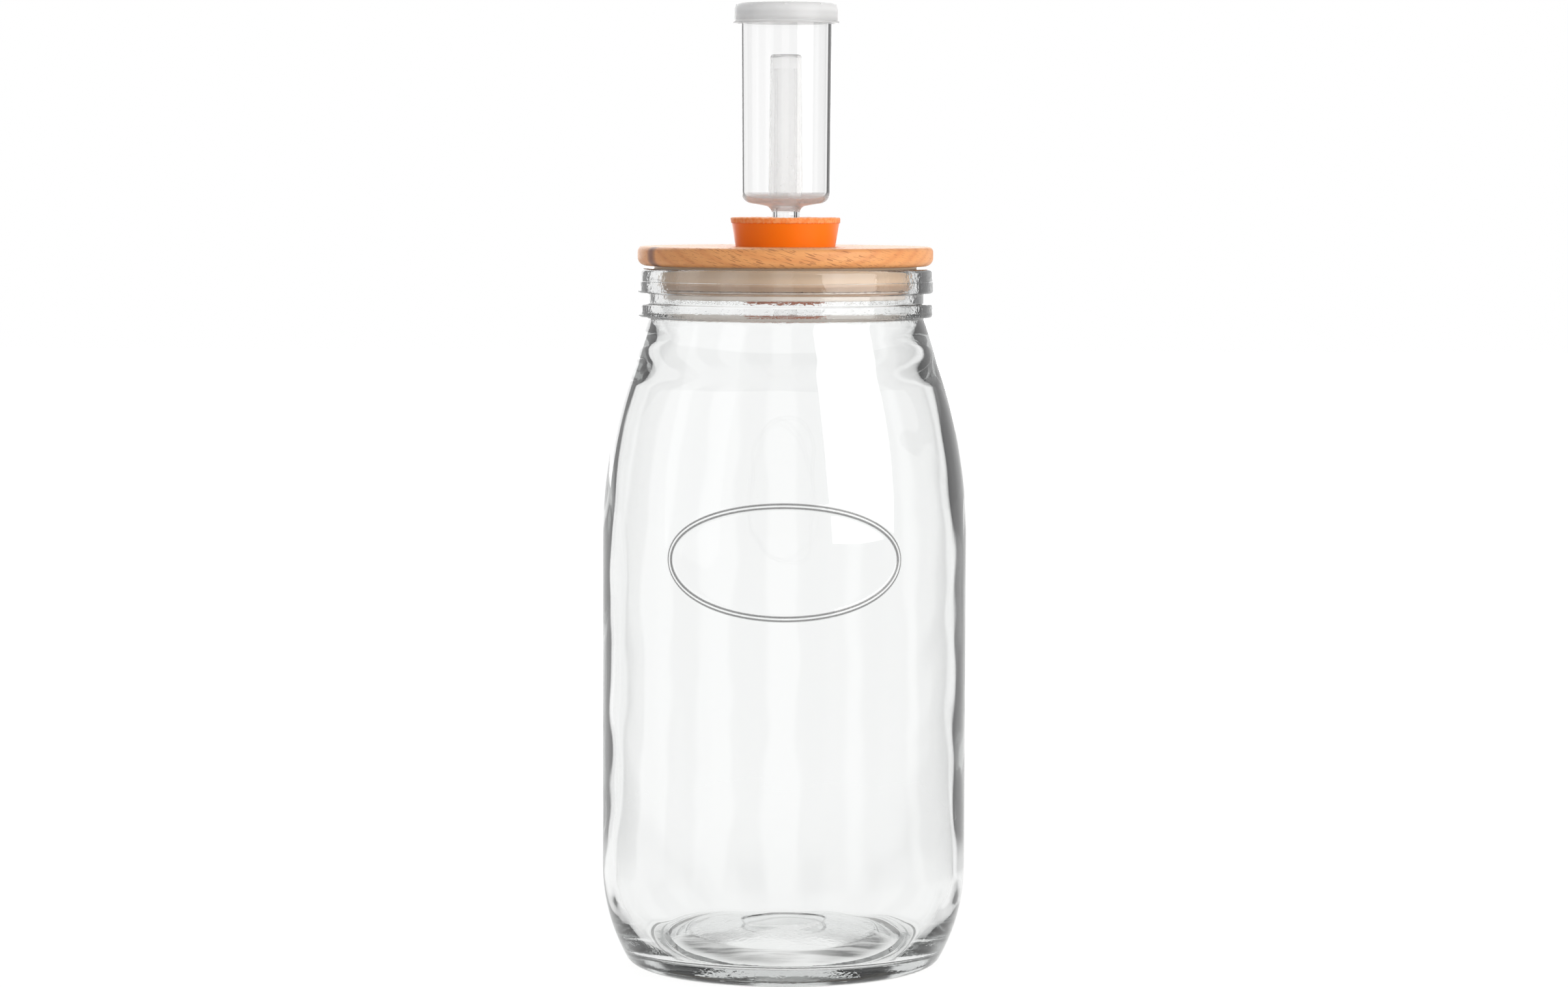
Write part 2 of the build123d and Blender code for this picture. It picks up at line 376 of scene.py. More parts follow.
class Recipe:
    """Adds nodes to one material's or world's tree."""

    def __init__(self, owner):
        owner.use_nodes = True
        self.tree = owner.node_tree
        self.tree.nodes.clear()

    def node(self, kind, settings=None, **sockets):
        """New node: settings are set first, then sockets, named with _ for each space."""
        node = self.tree.nodes.new("ShaderNode" + kind)
        for name, value in (settings or {}).items():
            setattr(node, name, value)
        for name, value in sockets.items():
            self.fill(self.entry(node, name), value)
        return node

    def fill(self, entry, value):
        """Links a value or a socket to a node's entry, or sets a number or colour there."""
        source = value.socket if isinstance(value, Value) else value
        if isinstance(source, bpy.types.NodeSocket):
            self.tree.links.new(source, entry)
        else:
            entry.default_value = value

    @staticmethod
    def entry(node, name):
        """Socket by its name, or by its number for a name such as slot_1."""
        if name.startswith("slot_"):
            return node.inputs[int(name[5:])]
        wanted = name.replace("_", " ")
        return next(s for s in node.inputs if s.name == wanted and s.enabled)

    def value(self, socket):
        return Value(self.tree, socket)

    def split(self, vector):
        """The three parts of a vector as values."""
        return [self.value(part) for part in self.node("SeparateXYZ", Vector=vector).outputs]

    def place(self):
        """Object coordinates as three values, in metres, and the vector itself."""
        vector = self.node("TexCoord").outputs["Object"]
        return self.split(vector), vector

    def stretched(self, vector, scale):
        """The coordinates times a scale for each axis."""
        node = self.node("VectorMath", {"operation": "MULTIPLY"}, slot_0=vector, slot_1=scale)
        return node.outputs[0]

    def noise(self, vector, scale, detail):
        """Cloudy noise from 0 to 1, scale to the metre."""
        node = self.node("TexNoise", Vector=vector, Scale=scale, Detail=detail)
        return self.value(node.outputs["Fac"])

    def ray(self, *names):
        """What Light Path says of a ray, a value for each name."""
        path = self.node("LightPath")
        return [self.value(path.outputs[name]) for name in names]

    def blend(self, share, first, second):
        """A colour that goes from first to second as share goes from 0 to 1."""
        settings = {"data_type": "RGBA", "clamp_factor": True}
        return self.node("Mix", settings, slot_0=share, slot_6=first, slot_7=second).outputs[2]

    def bump(self, height, distance, strength=1.0):
        return self.node("Bump", Height=height, Distance=distance, Strength=strength).outputs[0]

    def mix(self, share, first, second):
        """One shader that goes from first to second as share goes from 0 to 1."""
        return self.node("MixShader", slot_0=share, slot_1=first, slot_2=second).outputs[0]

    def surface(self, shader, **volume):
        """Ends a material with its shader, and with Volume=shader for what fills it."""
        self.node("OutputMaterial", Surface=shader, **volume)


def tinted(colour):
    """A four-part colour from a property's three."""
    return (*colour, 1)


def grey(level):
    return (level, level, level, 1)


def new_finish(name):
    """New material and the recipe that adds its nodes."""
    material = bpy.data.materials.new(name)
    return material, Recipe(material)


def clear_finish(name, tint, refraction, roughness, haze_and_shade_of, milk, normal_of=None, soak=None):
    """Clear moulded glass or plastic that lets the lamps' light through to what is behind it.

    haze_and_shade_of says how milky it is by place, and milk how pale that haze is, first for light
    from the front and then from behind; a dark milk makes painted shade, as on the jar's oval bead.
    normal_of gives its relief, and soak its colour in depth.
    """
    material, recipe = new_finish(name)
    shape = {} if normal_of is None else {"Normal": normal_of(recipe)}
    clear = {"Color": tinted(tint), "IOR": refraction, "Roughness": roughness}
    shader = recipe.node("BsdfGlass", **clear, **shape).outputs[0]
    skin = recipe.node("BsdfPrincipled", Base_Color=grey(milk[0]), Roughness=0.3)
    glow = recipe.node("BsdfTranslucent", Color=grey(milk[1]))
    haze = recipe.mix(0.5, skin.outputs[0], glow.outputs[0])
    # Where milk is dark, as on the jar's bead, this haze is painted shade rather than real haze.
    shader = recipe.mix(haze_and_shade_of(recipe), shader, haze)
    veil = recipe.node("BsdfTransparent", Color=tinted(tint))
    (lamp_ray,) = recipe.ray("Is Shadow Ray")
    volume = {}
    if soak is not None:
        depth_tint, density = soak
        depth = recipe.node("VolumeAbsorption", Color=tinted(depth_tint), Density=density)
        volume["Volume"] = depth.outputs[0]
    recipe.surface(recipe.mix(lamp_ray, shader, veil.outputs[0]), **volume)
    return material


# Glass jar


def length_of(name, default, description):
    return FloatProperty(
        name=name, default=default, unit="LENGTH", precision=5, description=description
    )


def colour_of(name, default, description):
    return FloatVectorProperty(
        name=name, default=default, size=3, min=0, max=1, subtype="COLOR", description=description
    )


def count_of(name, default, description):
    return IntProperty(name=name, default=default, min=3, description=description)


def power_of(name, default, description):
    return FloatProperty(name=name, default=default, unit="POWER", description=description)


class JarSettings(bpy.types.PropertyGroup):
    body: length_of("Body radius", radius_of("glass_jar"), "Outside of the straight wall")
    wall: length_of("Wall", 4.6 * MM, "Thickness of the wall")
    heel_top: length_of("Heel height", 38 * MM, "Height where the wall starts to curve in")
    heel_bend: length_of("Heel bend", 72 * MM, "Radius of that curve")
    heel_corner: length_of("Heel corner", 6 * MM, "Radius between the curve and the foot")
    foot: length_of("Foot", 7.7 * MM, "Width of the ring that the jar stands on")
    plate: length_of("Push-up radius", 44.2 * MM, "Edge of the hollow under the base")
    plate_step: length_of("Push-up step", 0.8 * MM, "Rise from the foot to that edge")
    haunch: length_of("Haunch radius", 37 * MM, "Where the hollow's steep side meets its dome")
    haunch_rise: length_of("Haunch height", 4.4 * MM, "Height of that place")
    push_up: length_of("Push-up", 8 * MM, "Height of the middle of the hollow")
    inner_corner: length_of("Inside corner", 4 * MM, "Radius of the valley round the inside floor")
    valley: length_of("Valley", 53 * MM, "Distance of the valley from the axis")
    floor_low: length_of("Floor, low", 7.6 * MM, "Height of the inside floor in the valley")
    floor_high: length_of("Floor, high", 15 * MM, "Height of the middle of the inside floor")
    dimple: length_of("Dimple", 17 * MM, "Radius of the shallow dimple in the floor")
    dimple_depth: length_of("Dimple depth", 0.7 * MM, "Depth of that dimple")
    dimple_slope: length_of("Dimple slope", 0.7 * MM, "Half the width of its sloping edge")
    floor_zone: length_of("Floor zone", 24 * MM, "Height up to which the inside is wavy as a floor")
    shoulder_foot: length_of("Shoulder", 165 * MM, "Height where the straight wall ends")
    shoulder_rise: length_of("Shoulder rise", 67.5 * MM, "Rise of the rounded part of the shoulder")
    shoulder_draw: length_of("Shoulder draw", 11.6 * MM, "How far that part draws in")
    settle: length_of("Settle wave", 233 * MM, "Height where the wall thickens below the neck")
    settle_rise: length_of("Wave rise", 20 * MM, "Height over which it thickens")
    throat: length_of("Throat", 50.8 * MM, "Inside of the thick glass above the wave")
    neck: length_of("Neck radius", 53.4 * MM, "Glass below the rings and in the groove")
    mouth: length_of("Mouth radius", 48.5 * MM, "Bore that the lid's plug goes in")
    ring: length_of("Ring radius", 57 * MM, "Outside of both rings")
    ring_draft: length_of("Ring draft", 0.6 * MM, "How much the upper ring narrows to the rim")
    mould_line: length_of("Mould line", 263.6 * MM, "Height of the step where the moulds met")
    mould_step: length_of("Mould step", 0.25 * MM, "Depth of that step")
    mould_rise: length_of("Mould step rise", 0.15 * MM, "Height of that step's slope")
    ring_round: length_of("Ring rounding", 0.9 * MM, "Edges of the rings")
    rim_round: length_of("Rim rounding", 1.6 * MM, "Outer edge of the rim")
    mouth_round: length_of("Mouth rounding", 1.1 * MM, "Inner edge of the rim")
    ring_foot: length_of("Lower ring", 250 * MM, "Height of the lower ring's underside")
    groove_foot: length_of("Groove", 255.2 * MM, "Height of the groove's lower side")
    groove_top: length_of("Groove top", 259.2 * MM, "Height of the groove's upper side")
    rim: length_of("Rim", top_of("glass_jar"), "Height of the rim")
    knurls: count_of("Knurls", 96, "Short grooves round the foot")
    knurl_depth: length_of("Knurl depth", 0.7 * MM, "Depth of those grooves")
    knurl_edge: length_of("Knurl edge", 0.3 * MM, "Flat left round each groove")
    oval_middle: length_of("Oval height", 161 * MM, "Height of the raised oval's middle")
    oval_half: length_of("Oval half width", 46 * MM, "Half the oval's width round the glass")
    oval_rise: length_of("Oval half height", 21 * MM, "Half the oval's height")
    bead: length_of("Bead", 2.6 * MM, "Width of the oval's bead")
    bead_height: length_of("Bead height", 0.5 * MM, "How far the bead stands proud")
    tint: colour_of("Tint", (0.984, 0.986, 0.985), "Colour of light that goes through the glass")
    soak: colour_of("Depth tint", (0.80, 0.810, 0.808), "Colour that thick glass goes towards")
    wall_wave: length_of("Wall wave", 30 * MM, "Size of the waves inside the wall")
    wall_wave_depth: length_of("Wall wave depth", 0.6 * MM, "Depth of those waves")
    floor_wave: length_of("Floor wave", 22 * MM, "Size of the waves in the floor")
    floor_wave_depth: length_of("Floor wave depth", 0.25 * MM, "Depth of those waves")


def bore_foot(jar):
    """Height where the mouth's straight bore starts, half way up the lower ring."""
    return (jar.ring_foot + jar.groove_foot) / 2


def shoulder_bend(jar):
    """Radius of the bulging arc that leaves the straight wall upright."""
    return (jar.shoulder_rise**2 + jar.shoulder_draw**2) / (2 * jar.shoulder_draw)


def heel_run(jar, steps):
    """Points from the foot round the corner and up to the straight wall."""
    fall = jar.heel_top - jar.heel_corner
    across = math.sqrt((jar.heel_bend - jar.heel_corner) ** 2 - fall**2)
    centre = jar.body - jar.heel_bend
    dip = math.atan2(fall, across)
    low = arc((centre + across, jar.heel_corner), jar.heel_corner, -math.pi / 2, -dip, steps)
    return joined(low, arc((centre, jar.heel_top), jar.heel_bend, -dip, 0, steps))


def shoulder_run(jar, top, steps):
    """Points up the outside from the straight wall to the neck: a bulge, then a slight hollow."""
    bend = shoulder_bend(jar)
    lean = math.asin(jar.shoulder_rise / bend)
    bulge = arc((jar.body - bend, jar.shoulder_foot), bend, 0, lean, steps)
    chord = Vector(top) - Vector(bulge[-1])
    bow = Vector((-math.sin(lean), math.cos(lean))).angle(chord) / 2
    hollow = bowed(bulge[-1], top, -chord.length / 2 * math.tan(bow), max(3, steps // 3))
    return joined(bulge, hollow)


def throat_run(jar, steps):
    """Points up the inside of the shoulder, which thickens in a wave just below the neck."""
    inside, bend = jar.body - jar.wall, shoulder_bend(jar)
    low, high = jar.settle - jar.settle_rise / 2, jar.settle + jar.settle_rise / 2
    top = bore_foot(jar)
    heights = straight((0, jar.shoulder_foot), (0, low), steps)
    heights += straight((0, low), (0, high), steps)[1:]
    heights += straight((0, high), (0, top), 6)[1:]
    run = []
    for _, z in heights:
        thin = inside - bend + math.sqrt(bend**2 - (z - jar.shoulder_foot) ** 2)
        up = max(0, z - high) / (top - high)
        thick = jar.throat + (jar.mouth - jar.throat) * up**2
        share = min(1, max(0, (z - low) / (high - low)))
        run.append((thin + (thick - thin) * share * share * (3 - 2 * share), z))
    return run


def floor_run(jar, steps):
    """Points from the wall round the heel, through the valley, and over the dome to its middle.

    Three arcs that touch each other make the heel, the valley and the dome.
    """
    inside, corner = jar.body - jar.wall, jar.inner_corner
    valley = Vector((jar.valley, jar.floor_low + corner))
    out, up = inside - jar.valley, jar.heel_top - valley.y
    bend = (out**2 + up**2 - corner**2) / (2 * (out - corner))
    heel = Vector((inside - bend, jar.heel_top))
    sink = valley.y - jar.floor_high
    bulge = (jar.valley**2 + sink**2 - corner**2) / (2 * (corner - sink))
    crown = jar.floor_high - bulge
    fall = math.atan2(heel.y - valley.y, valley.x - heel.x)
    lean = math.atan2(valley.x, valley.y - crown)
    run = arc(heel, bend, 0, -fall, steps)
    run += arc(valley, corner, -fall, -math.pi / 2 - lean, steps)[1:]
    edge, slope = run[-1][0], jar.dimple_slope
    reaches = [edge * (1 - i / steps) for i in range(1, steps + 1)]
    reaches += [jar.dimple - slope + side * slope for side in (-1, -0.5, 0, 0.5, 1)]
    for r in sorted(reaches, reverse=True):
        share = min(1, max(0, (jar.dimple - r) / (2 * slope)))
        sunk = jar.dimple_depth * share * share * (3 - 2 * share)
        run.append((r, crown + math.sqrt(bulge**2 - r**2) - sunk))
    return run


def jar_outline(jar):
    """The section of the glass, from under the middle of the base up and round to the floor."""
    inside = jar.body - jar.wall
    heel = heel_run(jar, 10)
    foot_in = heel[0][0] - jar.foot
    rise = jar.push_up - jar.haunch_rise
    bulge = (jar.haunch**2 + rise**2) / (2 * rise)
    sag = bulge - math.sqrt(bulge**2 - (jar.haunch**2 + rise**2) / 4)
    neck_low = (jar.neck, jar.ring_foot - 2 * EASED)
    lower_ring, low_step = jar.ring - jar.ring_draft / 2, jar.ring - jar.mould_step
    step_top = jar.mould_line + jar.mould_rise
    rings = rounded(
        [
            (*neck_low, 0),
            (jar.neck, jar.ring_foot, EASED),
            (lower_ring, jar.ring_foot, jar.ring_round),
            (lower_ring, jar.groove_foot, jar.ring_round),
            (jar.neck, jar.groove_foot, EASED),
            (jar.neck, jar.groove_top, EASED),
            (jar.ring, jar.groove_top, jar.ring_round),
            (jar.ring, jar.mould_line, HAIR),
            (low_step, step_top, HAIR),
            (jar.ring - jar.ring_draft, jar.rim, jar.rim_round),
            (jar.mouth, jar.rim, jar.mouth_round),
            (jar.mouth, bore_foot(jar), 0),
        ]
    )
    rows = 42
    return joined(
        bowed((0, jar.push_up), (jar.haunch, jar.haunch_rise), sag, 16),
        rounded(
            [
                (jar.haunch, jar.haunch_rise, 0),
                (jar.plate, jar.plate_step, FINE),
                (foot_in - jar.plate_step, jar.plate_step, 2 * FINE),
                (foot_in, 0, EASED),
                (*heel[0], 0),
            ],
            steps=4,
        ),
        heel,
        straight((jar.body, jar.heel_top), (jar.body, jar.shoulder_foot), rows),
        shoulder_run(jar, neck_low, 20),
        rings,
        throat_run(jar, 16)[::-1],
        straight((inside, jar.shoulder_foot), (inside, jar.heel_top), rows),
        floor_run(jar, 16),
    )


def outer_radius(jar, height):
    """Radius of the outside at a height on the straight wall or the bulge above it."""
    above = max(0, height - jar.shoulder_foot)
    bend = shoulder_bend(jar)
    return jar.body - bend + math.sqrt(bend**2 - above**2)


def bead_at(jar, around, height):
    """How far the oval's bead stands out at a place on the unrolled glass."""
    up = height - jar.oval_middle
    far = math.hypot(around / jar.oval_half, up / jar.oval_rise)
    if far < 0.1:
        return 0
    slope = math.hypot(around / jar.oval_half**2, up / jar.oval_rise**2) / far
    off = abs(far - 1) / slope / (jar.bead / 2)
    return jar.bead_height * (0.5 + 0.5 * math.cos(math.pi * off)) if off < 1 else 0


def raise_oval(piece, jar):
    """Refines the front of the outer wall, and raises the oval's bead on it."""
    margin = 4 * MM

    def on_panel(place):
        outside = math.hypot(*place.xy) > outer_radius(jar, place.z) - jar.wall / 2
        near = abs(place.z - jar.oval_middle) < jar.oval_rise + margin
        return outside and near and place.y < 0 and abs(place.x) < jar.oval_half

    pick(piece, on_panel)
    bpy.ops.mesh.subdivide(number_cuts=4)
    mesh = bmesh.from_edit_mesh(piece.data)
    for vertex in mesh.verts:
        if vertex.select:
            x, y, z = vertex.co
            bearing = math.atan2(x, -y)
            out = outer_radius(jar, z) + bead_at(jar, bearing * jar.body, z)
            vertex.co = (out * math.sin(bearing), -out * math.cos(bearing), z)
    bmesh.update_edit_mesh(piece.data)
    bpy.ops.object.mode_set(mode="OBJECT")


def press_knurls(piece, jar, columns):
    """Presses short grooves up into the foot ring, one in each second column of faces."""
    each = FULL_TURN / columns
    level = HAIR / 5

    def on_groove(place):
        column = int((math.atan2(place.y, place.x) % FULL_TURN) / each)
        return column % 2 == 0 and place.z < level

    pick(piece, on_groove)
    bpy.ops.mesh.inset(thickness=jar.knurl_edge, use_individual=False)
    bpy.ops.transform.translate(value=(0, 0, jar.knurl_depth))
    bpy.ops.object.mode_set(mode="OBJECT")


def jar_finish(jar):
    """Clear soda glass with long ripples, and fine ones where the moulds close on the rings."""

    def ripples(recipe):
        (_, _, z), vector = recipe.place()
        long = recipe.noise(recipe.stretched(vector, (1, 1, 0.45)), 38, 1.0)
        fine = recipe.noise(recipe.stretched(vector, (1, 1, 1.4)), 520, 2.0)
        rings = z.between(jar.ring_foot - 3 * MM, jar.ring_foot)
        foot = 1 - z.between(4 * MM, 12 * MM)
        under = rings * (1 - z.between(jar.ring_foot + 0.5 * MM, jar.ring_foot + 1.5 * MM))
        rough = rings * 0.22 + under * 0.3 + foot * 0.14 + 0.004
        return recipe.bump(long + fine * rough, 0.3 * MM)

    def bead_painted_shade(recipe):
        """The two slopes of the oval's bead, painted grey as painted shade where the glass turns
        light aside.
        """
        (x, y, z), _ = recipe.place()
        around, up = x.bearing(-y) * jar.body, z - jar.oval_middle
        across, rise = around / jar.oval_half, up / jar.oval_rise
        far = (across * across + rise * rise).root()
        across, rise = across / jar.oval_half, rise / jar.oval_rise
        slope = (across * across + rise * rise).root() / far.most(0.1)
        off = abs(far - 1) / slope.most(1) / (jar.bead / 2)
        outside = (x * x + y * y).root().between(jar.body - 3 * MM, jar.body - 2.5 * MM)
        return off.between(0.1, 0.4) * (1 - off.between(0.6, 1)) * outside * 0.8

    # The dark grey haze (0.08, 0.2) laid on the bead's slopes is painted shade.
    return clear_finish(
        "Jar glass", jar.tint, 1.5, 0.0, bead_painted_shade, (0.08, 0.2), ripples, (jar.soak, 20.0)
    )


class JAR_OT_glass(bpy.types.Operator):
    """Turn the glass jar, with its push-up base, two neck rings and a raised oval on its front"""

    bl_idname = "jar.glass"
    bl_label = "Glass jar"

    def execute(self, context):
        jar = context.scene.jar_settings
        columns = jar.knurls * 2
        piece = turn("jar_glass", jar_outline(jar), columns)
        press_knurls(piece, jar, columns)
        raise_oval(piece, jar)
        wall_top = jar.ring_foot - 4 * MM
        floor_reach = jar.body - 0.3 * jar.heel_bend

        def on_wall(place):
            inside = outer_radius(jar, place.z) - jar.wall / 2
            return jar.floor_zone < place.z < wall_top and math.hypot(*place.xy) < inside

        def on_floor(place):
            inside = floor_reach + place.z
            return jar.floor_low < place.z < jar.floor_zone and math.hypot(*place.xy) < inside

        wave(piece, "inner_wall", on_wall, jar.wall_wave, jar.wall_wave_depth)
        wave(piece, "inner_floor", on_floor, jar.floor_wave, jar.floor_wave_depth)
        smooth(piece)
        seat(piece, "glass_jar", "jar", jar_finish(jar))
        return {"FINISHED"}


# Wooden lid


class LidSettings(bpy.types.PropertyGroup):
    radius: length_of("Radius", radius_of("wooden_lid"), "Outside of the disc")
    top: length_of("Top", top_of("wooden_lid"), "Height of the top face")
    underside: length_of("Underside", top_of("lid_seal"), "Height of the disc's underside")
    foot: length_of("Foot", foot_of("wooden_lid"), "Height of the plug's end")
    plug: length_of("Plug radius", 46.4 * MM, "Outside of the plug below the seal")
    plug_foot: length_of("Plug foot", 3.6 * MM, "Wood left below the seal")
    groove: length_of("Groove radius", 45.2 * MM, "Where the seal sits")
    bore_top: length_of("Bore, top", 19.22 * MM, "Radius of the bore at the top face")
    bore_foot: length_of("Bore, end", 15.93 * MM, "Radius of the bore at the plug's end")
    top_edge: length_of("Top edge", 2 * MM, "Radius of the upper edge")
    low_edge: length_of("Lower edge", 3.2 * MM, "Radius of the lower edge")
    plug_edge: length_of("Plug edge", 0.8 * MM, "Radius of the plug's edges")
    pith: length_of("Pith", 10 * MM, "How far the growth rings' middle lies behind the axis")
    pith_height: length_of("Pith height", 215 * MM, "Height of that middle")
    # Painted reflection: a dark streak near the left-hand end stands for a dark flag reflected in
    # the oiled wood.
    flag_reflection_place: length_of("Heartwood place", 24.5 * MM, "How far its streak lies in front")
    flag_reflection_half: length_of("Heartwood half width", 3.6 * MM, "Half the streak's width")
    pale: colour_of("Pale wood", (0.77, 0.345, 0.12), "Between the growth rings")
    dark: colour_of("Dark wood", (0.65, 0.25, 0.08), "In the growth rings")
    fleck: colour_of("Flecks", (0.34, 0.125, 0.045), "Short dark lines along the grain")
    flag_reflection: colour_of("Painted reflection", (0.19, 0.065, 0.032), "Streak near the left-hand end")
    # Painted shade: darker colour for the plug below the disc, which lies in shade inside the neck.
    plug_painted_shade: colour_of("Plug", (0.44, 0.33, 0.26), "Wood below the disc, seen through the glass")
    raw: colour_of("Raw wood", (0.72, 0.66, 0.60), "Unoiled end of the plug")


def wood_finish(lid):
    """Oiled beech with its grain along X: growth rings, short slanting flecks and fine fibres."""
    material, recipe = new_finish("Lid beech")
    (x, y, z), vector = recipe.place()
    drift = recipe.noise(recipe.stretched(vector, (8, 20, 20)), 1.0, 2.0)
    depth = ((y - lid.pith) ** 2 + (z - lid.pith_height) ** 2).root()
    ring = ((depth * 1250 + drift * 10 + x * 20).sine() * 0.5 + 0.5) ** 3
    cloud = recipe.noise(recipe.stretched(vector, (16, 70, 90)), 1.0, 3.0)
    tone = (ring * 0.55 + cloud.between(0.35, 0.7) * 0.45).least(1)
    wood = recipe.blend(tone, tinted(lid.pale), tinted(lid.dark))
    lean = recipe.node("VectorRotate", {"rotation_type": "Y_AXIS"}, Vector=vector, Angle=-0.3)
    dash = recipe.noise(recipe.stretched(lean.outputs[0], (270, 420, 3600)), 1.0, 0.0)
    fleck = dash.between(0.62, 0.69) * (1 - abs(x).between(20 * MM, 50 * MM) * 0.7)
    fibre = recipe.noise(recipe.stretched(vector, (70, 2400, 2400)), 1.0, 2.0)
    wood = recipe.blend(fibre.between(0.4, 0.75) * 0.3, wood, tinted(lid.dark))
    wood = recipe.blend(fleck * 0.7, wood, tinted(lid.fleck))
    # Painted reflection: a dark streak near the left-hand end, for a dark flag reflected in the
    # oiled wood.
    off = (y + lid.flag_reflection_place + (drift - 0.5) * 4 * MM) / lid.flag_reflection_half
    streak = (1 - (off * off).least(1)) * (1 - x.between(-45 * MM, -20 * MM))
    wood = recipe.blend(streak * 0.95, wood, tinted(lid.flag_reflection))
    plug_top = lid.foot + lid.plug_foot
    # Painted shade: the plug below the disc is darkened, as it lies in shade inside the neck.
    below = 1 - z.between(lid.underside - 2 * FINE, lid.underside + FINE)
    wood = recipe.blend(below * 0.8, wood, tinted(lid.plug_painted_shade))
    raw = 1 - z.between(plug_top - FINE, plug_top + FINE)
    wood = recipe.blend(raw * 0.85, wood, tinted(lid.raw))
    skin = recipe.node(
        "BsdfPrincipled",
        Base_Color=wood,
        Roughness=0.46 + fleck * 0.2,
        Normal=recipe.bump(fibre * 0.5 - fleck, 0.06 * MM, 0.6),
        Coat_Weight=0.12,
        Coat_Roughness=0.35,
        Specular_IOR_Level=0.4,
    )
    recipe.surface(skin.outputs[0])
    return material


class JAR_OT_lid(bpy.types.Operator):
    """Turn the wooden lid: a disc on a grooved plug, with a tapered bore up its middle"""

    bl_idname = "jar.lid"
    bl_label = "Wooden lid"

    def execute(self, context):
        lid = context.scene.lid_settings
        foot_top = lid.foot + lid.plug_foot
        middle = (lid.foot + lid.top) / 2
        bore_middle = (lid.bore_foot + lid.bore_top) / 2
        corners = [
            (bore_middle, middle, 0),
            (lid.bore_foot, lid.foot, EASED),
            (lid.plug, lid.foot, lid.plug_edge),
            (lid.plug, foot_top, lid.plug_edge),
            (lid.groove, foot_top, 0),
            (lid.groove, lid.underside, 0),
            (lid.radius, lid.underside, lid.low_edge),
            (lid.radius, lid.top, lid.top_edge),
            (lid.bore_top, lid.top, EASED),
            (bore_middle, middle, 0),
        ]
        piece = turn_ring("lid_wood", corners, 7, 160)
        smooth(piece)
        seat(piece, "wooden_lid", "lid", wood_finish(lid))
        return {"FINISHED"}


# Seal round the plug


class SealSettings(bpy.types.PropertyGroup):
    top: length_of("Top", top_of("lid_seal"), "Height of the flange's top")
    foot: length_of("Foot", foot_of("lid_seal"), "Height of the sleeve's end")
    flange: length_of("Flange radius", radius_of("lid_seal"), "Outside of the flange")
    flange_under: length_of("Flange, under", top_of("glass_jar"), "Height where it meets the rim")
    bore: length_of("Bore", 45.25 * MM, "Inside of the sleeve")
    band: length_of("Band radius", 48.42 * MM, "Outside of the band that presses on the mouth")
    lead: length_of("Lead", 1.3 * MM, "How far the band draws in at its foot")
    lead_rise: length_of("Lead height", 1.8 * MM, "Height of that slope")
    lead_edge: length_of("Lead edge", 0.8 * MM, "Radius where that slope meets the band")
    relief: length_of("Relief", 0.6 * MM, "Groove between the band and the flange")
    colour: colour_of("Silicone", (0.60, 0.42, 0.28), "Colour of the milky silicone over the wood")
    cloudy: colour_of("Clouds", (0.68, 0.55, 0.43), "Paler clouds in the silicone")
    # Painted shadow: the brown at the seal's foot stands for the shade of the gap there.
    foot_painted_shadow: colour_of("Foot", (0.36, 0.21, 0.13), "Where it is thin over the wood at its foot")


def seal_finish(seal):
    """Milky silicone that light soaks into, with painted shadow: browner at its foot, thin over the
    wood.
    """
    material, recipe = new_finish("Seal silicone")
    (_, _, z), vector = recipe.place()
    cloud = recipe.noise(vector, 220, 2.0)
    milky = recipe.blend(cloud * 0.25, tinted(seal.colour), tinted(seal.cloudy))
    # Painted shadow: browner towards the foot, for the shade of the gap there.
    low = 1 - (z + (cloud - 0.5) * MM).between(seal.foot + 1.8 * MM, seal.foot + 3.2 * MM)
    skin = recipe.node(
        "BsdfPrincipled",
        Base_Color=recipe.blend(low * 0.6, milky, tinted(seal.foot_painted_shadow)),
        Roughness=0.35 + cloud * 0.15,
        Subsurface_Weight=0.3,
        Subsurface_Radius=(0.004, 0.003, 0.002),
        Subsurface_Scale=1.0,
        Normal=recipe.bump(cloud, 0.05 * MM),
    )
    recipe.surface(skin.outputs[0])
    return material


class JAR_OT_seal(bpy.types.Operator):
    """Turn the silicone seal: a flange on the rim and a band in the mouth"""

    bl_idname = "jar.seal"
    bl_label = "Lid seal"

    def execute(self, context):
        seal = context.scene.seal_settings
        middle = (seal.foot + seal.top) / 2
        relief_top = seal.flange_under - EASED
        corners = [
            (seal.bore, middle, 0),
            (seal.bore, seal.foot, FINE),
            (seal.band - seal.lead, seal.foot, SOFT),
            (seal.band, seal.foot + seal.lead_rise, seal.lead_edge),
            (seal.band, relief_top - seal.relief, SOFT),
            (seal.band - seal.relief, relief_top, FINE),
            (seal.band - seal.relief, seal.flange_under, HAIR),
            (seal.flange, seal.flange_under, FINE),
            (seal.flange, seal.top, FINE),
            (seal.bore, seal.top, FINE),
            (seal.bore, middle, 0),
        ]
        piece = turn_ring("seal_ring", corners, 4, 128)
        smooth(piece)
        seat(piece, "lid_seal", "lid", seal_finish(seal))
        return {"FINISHED"}


# Bung


